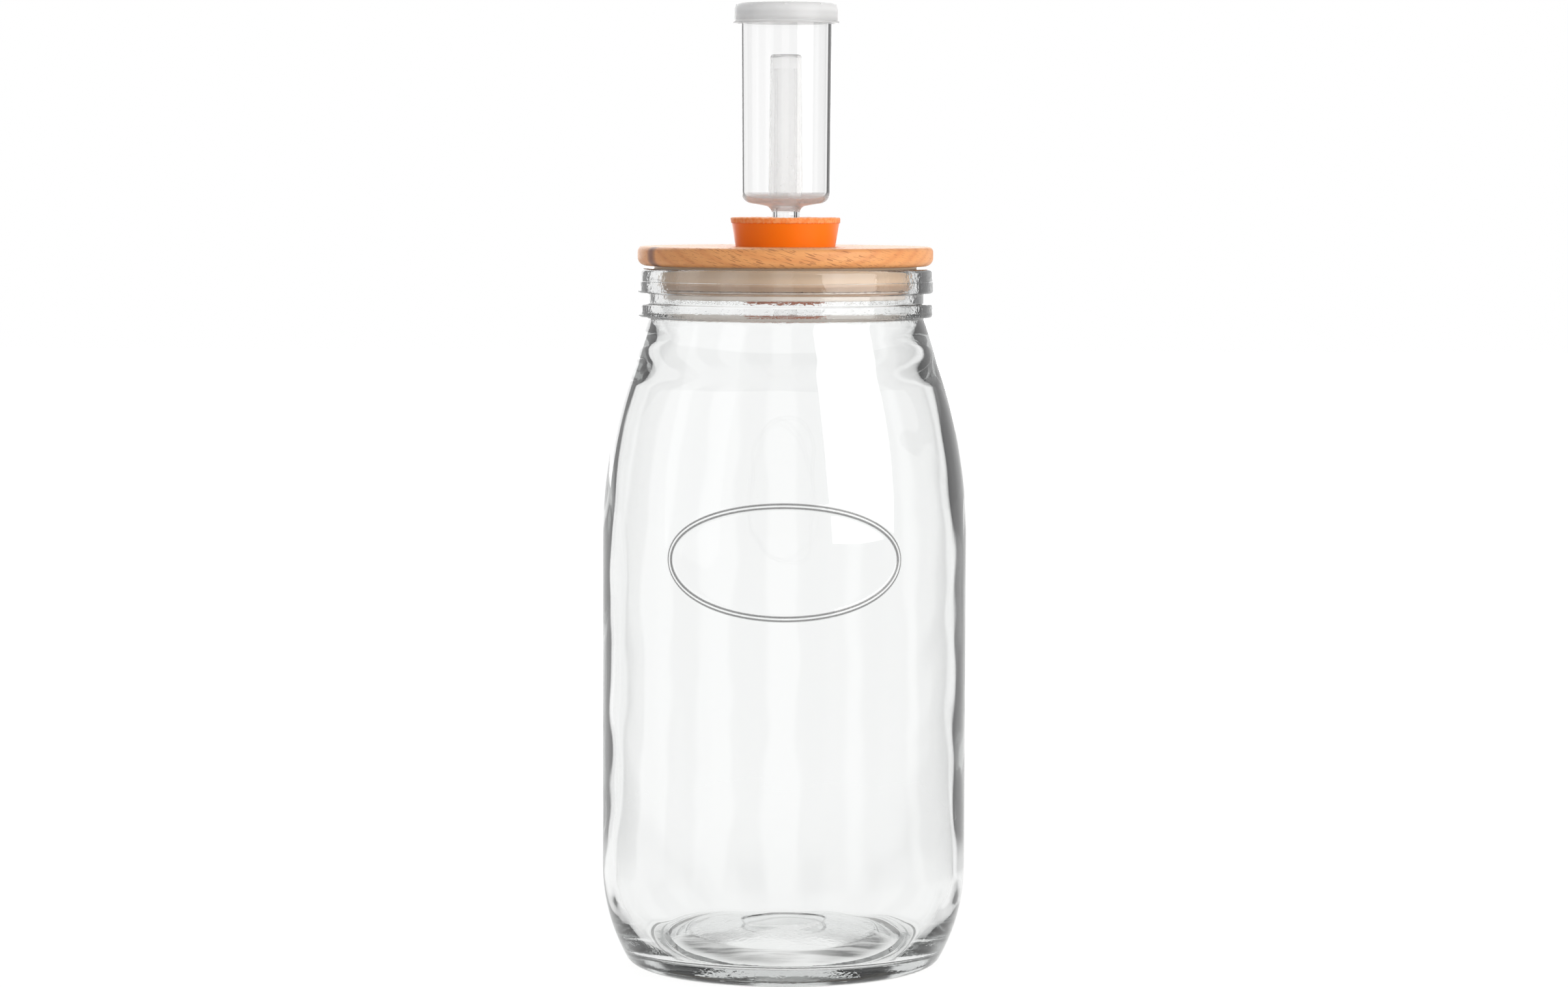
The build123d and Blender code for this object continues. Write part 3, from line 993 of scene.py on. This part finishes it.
class BungSettings(bpy.types.PropertyGroup):
    top: length_of("Top", top_of("airlock_bung"), "Height of the top face")
    foot: length_of("Foot", foot_of("airlock_bung"), "Height of the narrow end")
    wide: length_of("Top radius", 21 * MM, "Radius of the top face")
    narrow: length_of("Foot radius", 15.6 * MM, "Radius of the narrow end")
    lip: length_of("Lip", 0.25 * MM, "How far the top edge stands out of the taper")
    lip_height: length_of("Lip height", 2.1 * MM, "Height of that edge")
    bore_top: length_of("Bore, top", 5.51 * MM, "Radius of the bore at the top")
    bore_foot: length_of("Bore, end", 4.53 * MM, "Radius of the bore at the narrow end")
    foot_edge: length_of("Foot edge", 0.8 * MM, "Radius of the narrow end's edge")
    top_edge: length_of("Top edge", 0.6 * MM, "Radius of the top edge")
    tear: length_of("Tears", 1.3 * MM, "Size of the torn waves in the top edge")
    tear_depth: length_of("Tear depth", 0.5 * MM, "Depth of those waves")
    colour: colour_of("Silicone", (1.0, 0.20, 0.0), "Orange of the smooth silicone")
    cloudy: colour_of("Clouds", (0.95, 0.26, 0.03), "Paler clouds in the smooth silicone")
    torn: colour_of("Torn edge", (0.90, 0.25, 0.05), "Paler orange of the rough top edge")
    grit: colour_of("Grit", (0.95, 0.38, 0.14), "Palest grains of that edge")
    # Painted shade: darker colour for the narrow end, which lies in shade inside the jar.
    end_painted_shade: colour_of("Shaded end", (0.30, 0.15, 0.11), "Painted shade on the narrow end, inside the jar")


def bung_finish(bung):
    """Satin orange silicone, smooth on its taper and rough and paler round its top edge."""
    material, recipe = new_finish("Bung silicone")
    (_, _, z), vector = recipe.place()
    grit = recipe.noise(vector, 900, 3.0)
    cloud = recipe.noise(vector, 120, 2.0)
    lip_z = bung.top - bung.lip_height
    edge = (z + (grit - 0.5) * 1.2 * MM).between(lip_z - 0.15 * MM, lip_z + 0.25 * MM)
    smooth_part = recipe.blend(cloud * 0.12, tinted(bung.colour), tinted(bung.cloudy))
    rough_part = recipe.blend(grit.between(0.35, 0.7), tinted(bung.torn), tinted(bung.grit))
    # Painted shade: the narrow end is darkened, as it lies in shade inside the jar.
    end = 1 - z.between(bung.foot, bung.foot + 5 * MM)
    smooth_part = recipe.blend(end * 0.85, smooth_part, tinted(bung.end_painted_shade))
    skin = recipe.node(
        "BsdfPrincipled",
        Base_Color=recipe.blend(edge, smooth_part, rough_part),
        Roughness=0.34 + edge * 0.25,
        Subsurface_Weight=0.25,
        Subsurface_Radius=(0.006, 0.002, 0.0008),
        Subsurface_Scale=1.0,
        Specular_IOR_Level=0.3,
        Sheen_Weight=0.35,
        Sheen_Roughness=0.4,
        Sheen_Tint=(1, 0.9, 0.85, 1),
        Normal=recipe.bump(grit * (edge * 0.9 + 0.1), 0.25 * MM),
    )
    recipe.surface(skin.outputs[0])
    return material


class JAR_OT_bung(bpy.types.Operator):
    """Turn the tapered silicone bung, and roughen its top edge"""

    bl_idname = "jar.bung"
    bl_label = "Bung"

    def execute(self, context):
        bung = context.scene.bung_settings
        lip_z = bung.top - bung.lip_height
        share = (lip_z - bung.foot) / (bung.top - bung.foot)
        lip_r = bung.narrow + (bung.wide - bung.narrow) * share
        middle = (bung.foot + bung.top) / 2
        bore = (bung.bore_foot + bung.bore_top) / 2
        corners = [
            (bore, middle, 0),
            (bung.bore_foot, bung.foot, SOFT),
            (bung.narrow, bung.foot, bung.foot_edge),
            (lip_r, lip_z, SOFT / 2),
            (lip_r + bung.lip, lip_z + HAIR, HAIR),
            (bung.wide + HAIR / 5, bung.top, bung.top_edge),
            (bung.bore_top, bung.top, SOFT),
            (bore, middle, 0),
        ]
        piece = turn_ring("bung_silicone", corners, 6, 160)
        wave(piece, "top_edge", lambda place: place.z > lip_z, bung.tear, bung.tear_depth)
        smooth(piece)
        seat(piece, "airlock_bung", "bung", bung_finish(bung))
        return {"FINISHED"}


# Airlock cup, tube and stem


class AirlockSettings(bpy.types.PropertyGroup):
    foot: length_of("Foot", foot_of("airlock_body"), "Height of the stem's end")
    rim: length_of("Rim", top_of("airlock_body"), "Height of the cup's rim")
    floor: length_of("Floor", foot_of("airlock_float"), "Height of the cup's floor")
    underside: length_of("Underside", 292 * MM, "Height where the stem meets the cup")
    tip: length_of("Stem end", 4.3 * MM, "Radius of the stem's end")
    neck: length_of("Stem neck", 5.6 * MM, "Radius of the stem below the cup")
    bore: length_of("Bore", 3.3 * MM, "Radius of the bore from end to end")
    low: length_of("Cup base", 17.05 * MM, "Outside of the cup at its base")
    high: length_of("Cup rim", 17.55 * MM, "Outside of the cup at its rim")
    wall: length_of("Wall", 1.3 * MM, "Thickness of the cup's wall")
    slope: length_of("Slope", 1.9 * MM, "Rise of the underside from the stem to the wall")
    corner: length_of("Corner", 4.4 * MM, "Outside corner of the base")
    bend: length_of("Stem bend", 2.4 * MM, "Radius between the stem and the cup")
    bead: length_of("Bead", 0.4 * MM, "Ring outside the rim")
    bead_rise: length_of("Bead height", 1.6 * MM, "Height of that ring")
    lead: length_of("Lead", 1 * MM, "Distance from that ring up to the rim")
    tube: length_of("Tube", 4.7 * MM, "Outside of the inner tube at the floor")
    tube_rise: length_of("Tube height", 50 * MM, "Rise of the inner tube")
    tube_draft: length_of("Tube draft", 0.3 * MM, "How much the tube narrows to its end")
    tint: colour_of("Tint", (0.994, 0.994, 0.994), "Colour of light that goes through the plastic")


class JAR_OT_airlock(bpy.types.Operator):
    """Turn the clear airlock: a stem, a cup and the tube up its middle, in one moulding"""

    bl_idname = "jar.airlock"
    bl_label = "Airlock"

    def execute(self, context):
        lock = context.scene.airlock_settings
        bead_top = lock.rim - lock.lead
        bead_foot = bead_top - lock.bead_rise
        tube_top = lock.floor + lock.tube_rise
        middle = (lock.foot + lock.floor) / 2
        corners = [
            (lock.bore, middle, 0),
            (lock.bore, lock.foot, FINE),
            (lock.tip, lock.foot, SOFT),
            (lock.neck, lock.underside, lock.bend),
            (lock.low, lock.underside + lock.slope, lock.corner),
            (lock.high, bead_foot, HAIR),
            (lock.high + lock.bead, bead_foot + lock.bead, SOFT / 2),
            (lock.high + lock.bead, bead_top - lock.bead, SOFT / 2),
            (lock.high, bead_top, HAIR),
            (lock.high, lock.rim, SOFT),
            (lock.high - lock.wall, lock.rim, SOFT),
            (lock.low - lock.wall, lock.floor, lock.corner - lock.wall),
            (lock.tube, lock.floor, 2 * FINE),
            (lock.tube - lock.tube_draft, tube_top, 2 * FINE),
            (lock.bore, tube_top, SOFT),
            (lock.bore, middle, 0),
        ]
        piece = turn_ring("airlock_cup", corners, 6, 128)
        smooth(piece)

        def milk(recipe):
            """A faint haze in the thick foot of the cup."""
            (_, _, z), vector = recipe.place()
            haze = recipe.noise(vector, 260, 2.0)
            foot = z.between(lock.underside - 2.5 * MM, lock.underside + 0.5 * MM)
            foot = foot * (1 - z.between(lock.floor + 0.4 * MM, lock.floor + 3 * MM))
            return foot * (haze * 0.2 + 0.3) + 0.01

        finish = clear_finish("Airlock plastic", lock.tint, 1.46, 0.01, milk, (0.5, 0.5))
        seat(piece, "airlock_body", "airlock", finish)
        return {"FINISHED"}


# Float


class FloatSettings(bpy.types.PropertyGroup):
    foot: length_of("Foot", foot_of("airlock_float"), "Height of the open end")
    top: length_of("Top", top_of("airlock_float"), "Height of the closed end")
    low: length_of("Foot radius", 6.65 * MM, "Outside at the open end")
    high: length_of("Top radius", 6 * MM, "Outside at the closed end")
    wall: length_of("Wall", 0.9 * MM, "Thickness of the wall")
    corner: length_of("Corner", 1.3 * MM, "Radius round the closed end")
    notches: count_of("Notches", 4, "Notches that bubbles leave by")
    notch_width: length_of("Notch width", 2 * MM, "Width of a notch")
    notch_height: length_of("Notch height", 2.6 * MM, "Height of a notch")
    tint: colour_of("Tint", (0.99, 0.99, 0.99), "Colour of light that goes through the plastic")


class JAR_OT_float(bpy.types.Operator):
    """Turn the float, an upside-down cup, and cut the notches in its rim"""

    bl_idname = "jar.float"
    bl_label = "Float"

    def execute(self, context):
        cup = context.scene.float_settings
        corners = [
            (0, cup.top, 0),
            (cup.high, cup.top, cup.corner),
            (cup.low, cup.foot, FINE),
            (cup.low - cup.wall, cup.foot, FINE),
            (cup.high - cup.wall, cup.top - cup.wall, cup.corner - cup.wall / 2),
            (0, cup.top - cup.wall, 0),
        ]
        piece = turn("float_cup", rounded(corners, 6), 96)
        inner, outer = cup.low - 2 * cup.wall, cup.low + 1 * MM
        low, high = cup.foot - 1 * MM, cup.foot + cup.notch_height
        notch = [(inner, low), (outer, low), (outer, high), (inner, high)]
        cut(piece, ring_of("float_slots", notch, cup.notch_width, cup.notches))
        smooth(piece)

        def milk(recipe):
            """Small marks and a faint haze, stronger towards the open end."""
            (_, _, z), vector = recipe.place()
            specks = recipe.noise(vector, 900, 1.0).between(0.66, 0.74)
            low = 1 - z.between(cup.foot, cup.foot + 30 * MM)
            return specks * (low * 0.3 + 0.06) + low * 0.05 + 0.15

        finish = clear_finish("Float plastic", cup.tint, 1.43, 0.04, milk, (0.7, 0.75))
        seat(piece, "airlock_float", "float", finish)
        return {"FINISHED"}


# Cap


class CapSettings(bpy.types.PropertyGroup):
    top: length_of("Top", top_of("airlock_cap"), "Height of the top face")
    foot: length_of("Foot", foot_of("airlock_cap"), "Height of the lip's underside")
    radius: length_of("Radius", 19.8 * MM, "Outside of the skirt")
    lip: length_of("Lip", 0.6 * MM, "How far the lip stands out of the skirt")
    lip_height: length_of("Lip height", 0.9 * MM, "Height of the lip")
    wall: length_of("Wall", 1.1 * MM, "Thickness of the skirt")
    thick: length_of("Top thickness", 1.2 * MM, "Thickness of the top")
    corner: length_of("Corner", 2.8 * MM, "Radius round the top")
    ribs: count_of("Ribs", 8, "Ribs inside that hold the cap off the rim")
    rib: length_of("Rib", 1.2 * MM, "Width of a rib")
    rib_lead: length_of("Rib lead", 0.8 * MM, "Distance from the lip's underside up to the ribs")
    rest: length_of("Rest", 3.4 * MM, "How far each rib reaches in over the cup's rim")
    play: length_of("Play", 0.08 * MM, "Gap between the ribs and the cup")
    vents: count_of("Vents", 6, "Small holes in the top")
    vent: length_of("Vent radius", 0.8 * MM, "Radius of a vent")
    vent_ring: length_of("Vent circle", 9 * MM, "Radius of the circle that the vents lie on")
    tint: colour_of("Tint", (0.88, 0.885, 0.89), "Colour of the frosted plastic")
    lit: colour_of("Light through", (0.93, 0.935, 0.94), "Colour of light that comes through it")


def cap_finish(cap):
    """Frosted plastic, half milky and half clear, clearer at the lip, with a painted highlight
    round the top.
    """
    material, recipe = new_finish("Cap plastic")
    (_, _, z), vector = recipe.place()
    haze = recipe.noise(recipe.stretched(vector, (1, 1, 4)), 160, 2.0)
    cloudy = recipe.blend(haze.between(0.35, 0.7) * 0.5, tinted(cap.tint), grey(0.94))
    milk = recipe.node(
        "BsdfPrincipled",
        Base_Color=cloudy,
        Roughness=0.4 + haze * 0.15,
        Subsurface_Weight=0.4,
        Subsurface_Radius=(0.004, 0.004, 0.004),
        Subsurface_Scale=1.0,
        Normal=recipe.bump(haze, 0.08 * MM),
    )
    glow = recipe.node("BsdfTranslucent", Color=tinted(cap.lit))
    clear = recipe.node("BsdfGlass", Color=grey(0.97), IOR=1.4, Roughness=0.25)
    frosted = recipe.mix(0.45, milk.outputs[0], glow.outputs[0])
    lip_top = cap.foot + cap.lip_height
    lip = 1 - z.between(lip_top, lip_top + 2 * MM)
    # Painted highlight: the top and its rounding are made milkier, so paler, than the skirt.
    edge = z.between(cap.top - 4 * MM, cap.top - 2.4 * MM)
    recipe.surface(recipe.mix(lip * 0.25 + 0.3 - edge * 0.15, frosted, clear.outputs[0]))
    return material


class JAR_OT_cap(bpy.types.Operator):
    """Turn the frosted cap, add the ribs inside it and drill its vents"""

    bl_idname = "jar.cap"
    bl_label = "Cap"

    def execute(self, context):
        cap = context.scene.cap_settings
        lock = context.scene.airlock_settings
        inside, under = cap.radius - cap.wall, cap.top - cap.thick
        corners = [
            (0, cap.top, 0),
            (cap.radius, cap.top, cap.corner),
            (cap.radius, cap.foot + cap.lip_height, SOFT),
            (cap.radius + cap.lip, cap.foot + cap.lip_height * 0.8, EASED / 2),
            (cap.radius + cap.lip, cap.foot, EASED / 2),
            (inside, cap.foot, FINE),
            (inside, under, cap.corner - cap.wall),
            (0, under, 0),
        ]
        piece = turn("cap_frosted", rounded(corners, 6), 128)
        upright, in_wall = lock.high + lock.bead + cap.play, inside + cap.wall / 2
        low, high = cap.foot + cap.rib_lead, under + cap.thick / 2
        rib = [
            (upright, low),
            (in_wall, low),
            (in_wall, high),
            (upright - cap.rest, high),
            (upright - cap.rest, lock.rim),
            (upright, lock.rim),
        ]
        cut(piece, ring_of("ribs", rib, cap.rib, cap.ribs), "UNION")
        bpy.ops.object.select_all(action="DESELECT")
        bpy.ops.mesh.primitive_cylinder_add(vertices=20, radius=cap.vent, depth=4 * MM)
        drills = bpy.context.object
        bpy.ops.object.mode_set(mode="EDIT")
        bpy.ops.transform.translate(value=(cap.vent_ring, 0, cap.top))
        repeat_round(cap.vents)
        cut(piece, drills)
        smooth(piece)
        seat(piece, "airlock_cap", "cap", cap_finish(cap))
        return {"FINISHED"}


# Stage


class StageSettings(bpy.types.PropertyGroup):
    distance: length_of("Camera distance", 1.73, "From the jar's axis to the camera")
    eye: length_of("Eye height", 0.305, "Height of the camera")
    aim: length_of("Aim height", 0.1818, "Height on the axis at the middle of the picture")
    aside: length_of("Camera aside", -0.00025, "How far the camera stands to the right of the axis")
    roll: FloatProperty(
        name="Roll", default=0.0033, unit="ROTATION", description="Lean of the camera"
    )
    width: length_of("Picture width", 0.6046, "Width of the picture at the jar's axis")
    ambient: FloatProperty(name="Ambient", default=0.4, description="Light from all round")
    key: power_of("Key lamp", 21.0, "Power of the right-hand lamp")
    fill: power_of("Fill lamp", 2.5, "Power of the left-hand lamp")
    back: power_of("Back lamp", 10.0, "Power of the lamp behind")


def camera(stage):
    """Camera at the photograph's angle and framing."""
    bpy.ops.object.camera_add(location=(stage.aside, -stage.distance, stage.eye))
    view = bpy.context.object
    view.name = "camera"
    way = Vector((stage.aside, 0, stage.aim)) - view.location
    upright = way.to_track_quat("-Z", "Y")
    view.rotation_euler = (upright @ Quaternion((0, 0, 1), stage.roll)).to_euler()
    view.data.sensor_width = 36.0
    view.data.lens = view.data.sensor_width * way.length / stage.width
    view.data.clip_start = 0.05
    bpy.context.scene.camera = view


def area_lamp(name, place, aim, size, power, colour):
    """Soft rectangular lamp turned towards a point."""
    bpy.ops.object.light_add(type="AREA", location=place)
    lamp = bpy.context.object
    lamp.name = name
    lamp.rotation_euler = (Vector(aim) - Vector(place)).to_track_quat("-Z", "Y").to_euler()
    lamp.data.shape = "RECTANGLE"
    lamp.data.size, lamp.data.size_y = size
    lamp.data.energy = power
    lamp.data.color = colour
    lamp.visible_camera = False
    lamp.visible_transmission = False


def flags(recipe, x, y, rising=0):
    """Soft dark strips round the jar, as from flags, wider to the right, from 0 to 1.

    They draw the edges of the glass: light that has bounced inside one wall meets them in full
    and widest, light that bounced in several walls less, and light straight through hardly.
    Light that has bounced on and on in thick glass has come from anywhere, and is half dark.
    rising is 1 for light that goes up, as it does off the glass of the base.
    """
    right = (x / (x * x + y * y).root()).between(-0.1, 0.3)
    through, gloss, bounces, crossings = recipe.ray(
        "Is Transmission Ray", "Is Glossy Ray", "Glossy Depth", "Transmission Depth"
    )
    bounced = bounces.least(1)
    one_wall = bounced * (1 - crossings.between(2.5, 3.5))
    many_walls = bounced * crossings.between(4.5, 6.5)
    width = right * (one_wall * 0.45 + 0.35) + one_wall * 0.35
    strips = (width - (x.bearing(y) * FLAGS).cosine()).between(0.1, 0.7)
    meets = one_wall * 0.9 + many_walls * 0.1 + bounced * (rising * 0.5 + 0.03) + 0.005
    meets = through * meets + gloss * 0.08
    return (strips * meets.least(1)).most(through * bounces.between(1.5, 4.5) * 0.5)


def seen_by(recipe):
    """1 for what the camera sees, straight or in glass and gloss, and 0 for light on the object."""
    names = "Is Camera Ray", "Is Transmission Ray", "Is Glossy Ray"
    camera_ray, through, gloss = recipe.ray(*names)
    return camera_ray.most(through).most(gloss)


def studio_world(stage):
    """White room with the flags in it."""
    world = bpy.data.worlds.new("Studio")
    bpy.context.scene.world = world
    recipe = Recipe(world)
    x, y, z = recipe.split(recipe.node("TexCoord").outputs["Generated"])
    dark = flags(recipe, x, y, z.between(0.05, 0.25)) * (1 - abs(z).between(0.55, 0.9))
    white = recipe.blend(seen_by(recipe), grey(stage.ambient), WHITE)
    light = recipe.node("Background", Color=recipe.blend(dark, white, FLAG_BLACK), Strength=1.0)
    recipe.node("OutputWorld", Surface=light.outputs[0])


def floor_finish():
    """White floor that keeps a soft shadow near the jar and meets the white room farther out.

    Glass casts no shadow here, so the dark line where its foot meets the floor is in the finish,
    and so is the streaky shade under its hollow base.
    """
    material, recipe = new_finish("Studio floor")
    (x, y, _), vector = recipe.place()
    grain = recipe.noise(vector, 60, 2.0)
    reach = (x * x + y * y).root()
    contact = reach.between(52.5 * MM, 54 * MM) * 0.75 + reach.between(40 * MM, 50 * MM) * 0.25
    contact = contact * (1 - reach.between(55.5 * MM, 57.5 * MM))
    streaks = recipe.noise(recipe.stretched(vector, (30, 150, 1)), 1.0, 2.0).between(0.4, 0.6)
    hollow = reach.between(18 * MM, 28 * MM) * (1 - reach.between(38 * MM, 44 * MM))
    sides = abs(x).between(4 * MM, 24 * MM)
    contact = contact.most(hollow * (sides * 0.45 + streaks * 0.45 + 0.1))
    white = recipe.blend(grain * 0.06, grey(0.92), grey(0.88))
    paper = recipe.node(
        "BsdfPrincipled",
        Base_Color=recipe.blend(contact, white, grey(0.05)),
        Roughness=0.9,
        Specular_IOR_Level=0.1,
    )
    seen = seen_by(recipe)
    dark = flags(recipe, x, y) * reach.between(0.12, 0.4)
    shade = recipe.blend(dark, WHITE, FLAG_BLACK)
    glow = recipe.node("Emission", Color=shade, Strength=1.06)
    under = 1 - reach.between(40 * MM, 75 * MM)
    share = seen * (reach.between(0.1, 0.5) * 0.15 + 0.85 - under * 0.3) * (1 - contact * 0.9)
    recipe.surface(recipe.mix(share, paper.outputs[0], glow.outputs[0]))
    return material


class JAR_OT_stage(bpy.types.Operator):
    """Set up the white floor, the soft lamps, the room and the camera"""

    bl_idname = "jar.stage"
    bl_label = "Stage"

    def execute(self, context):
        stage = context.scene.stage_settings
        context.scene.view_settings.view_transform = "Standard"
        bpy.ops.object.select_all(action="DESELECT")
        bpy.ops.mesh.primitive_plane_add(size=12, location=(0, 0, -0.05 * MM))
        floor = context.object
        floor.name = floor.data.name = "floor"
        floor.data.materials.append(floor_finish())
        studio_world(stage)
        middle = (0, 0, 0.2)
        area_lamp("key", (1.15, -0.95, 0.7), middle, (1.3, 1.3), stage.key, (1, 0.985, 0.96))
        area_lamp("fill", (-1.3, -0.75, 0.6), middle, (1.2, 1.2), stage.fill, (0.97, 0.985, 1))
        area_lamp("back", (-0.25, 1.35, 0.75), middle, (1.3, 1.3), stage.back, (1, 1, 1))
        camera(stage)
        return {"FINISHED"}


# Add-on


class JAR_PT_panel(bpy.types.Panel):
    """The jar's pieces and their sizes"""

    bl_label = "Fermentation jar"
    bl_idname = "JAR_PT_panel"
    bl_space_type = "VIEW_3D"
    bl_region_type = "UI"
    bl_category = "Jar"

    def draw(self, context):
        layout = self.layout
        for name, (_, maker) in PARTS.items():
            layout.operator(maker.bl_idname)
            box = layout.box()
            settings = getattr(context.scene, name)
            for prop in settings.bl_rna.properties:
                if prop.identifier not in ("rna_type", "name"):
                    box.prop(settings, prop.identifier)


PARTS = {
    "jar_settings": (JarSettings, JAR_OT_glass),
    "lid_settings": (LidSettings, JAR_OT_lid),
    "seal_settings": (SealSettings, JAR_OT_seal),
    "bung_settings": (BungSettings, JAR_OT_bung),
    "airlock_settings": (AirlockSettings, JAR_OT_airlock),
    "float_settings": (FloatSettings, JAR_OT_float),
    "cap_settings": (CapSettings, JAR_OT_cap),
    "stage_settings": (StageSettings, JAR_OT_stage),
}
CLASSES = [kind for pair in PARTS.values() for kind in pair] + [JAR_PT_panel]


def register():
    for kind in CLASSES:
        bpy.utils.register_class(kind)
    for name, (settings, _) in PARTS.items():
        setattr(bpy.types.Scene, name, PointerProperty(type=settings))


def unregister():
    for name in PARTS:
        delattr(bpy.types.Scene, name)
    for kind in reversed(CLASSES):
        bpy.utils.unregister_class(kind)


def main():
    register()
    jar = bpy.ops.jar
    makers = (jar.stage, jar.glass, jar.lid, jar.seal, jar.bung, jar.airlock, jar.float, jar.cap)
    for make in makers:
        make()
    for kind in ("max", "transmission", "glossy", "transparent_max"):
        setattr(bpy.context.scene.cycles, kind + "_bounces", BOUNCES)


if __name__ == "__main__":
    main()
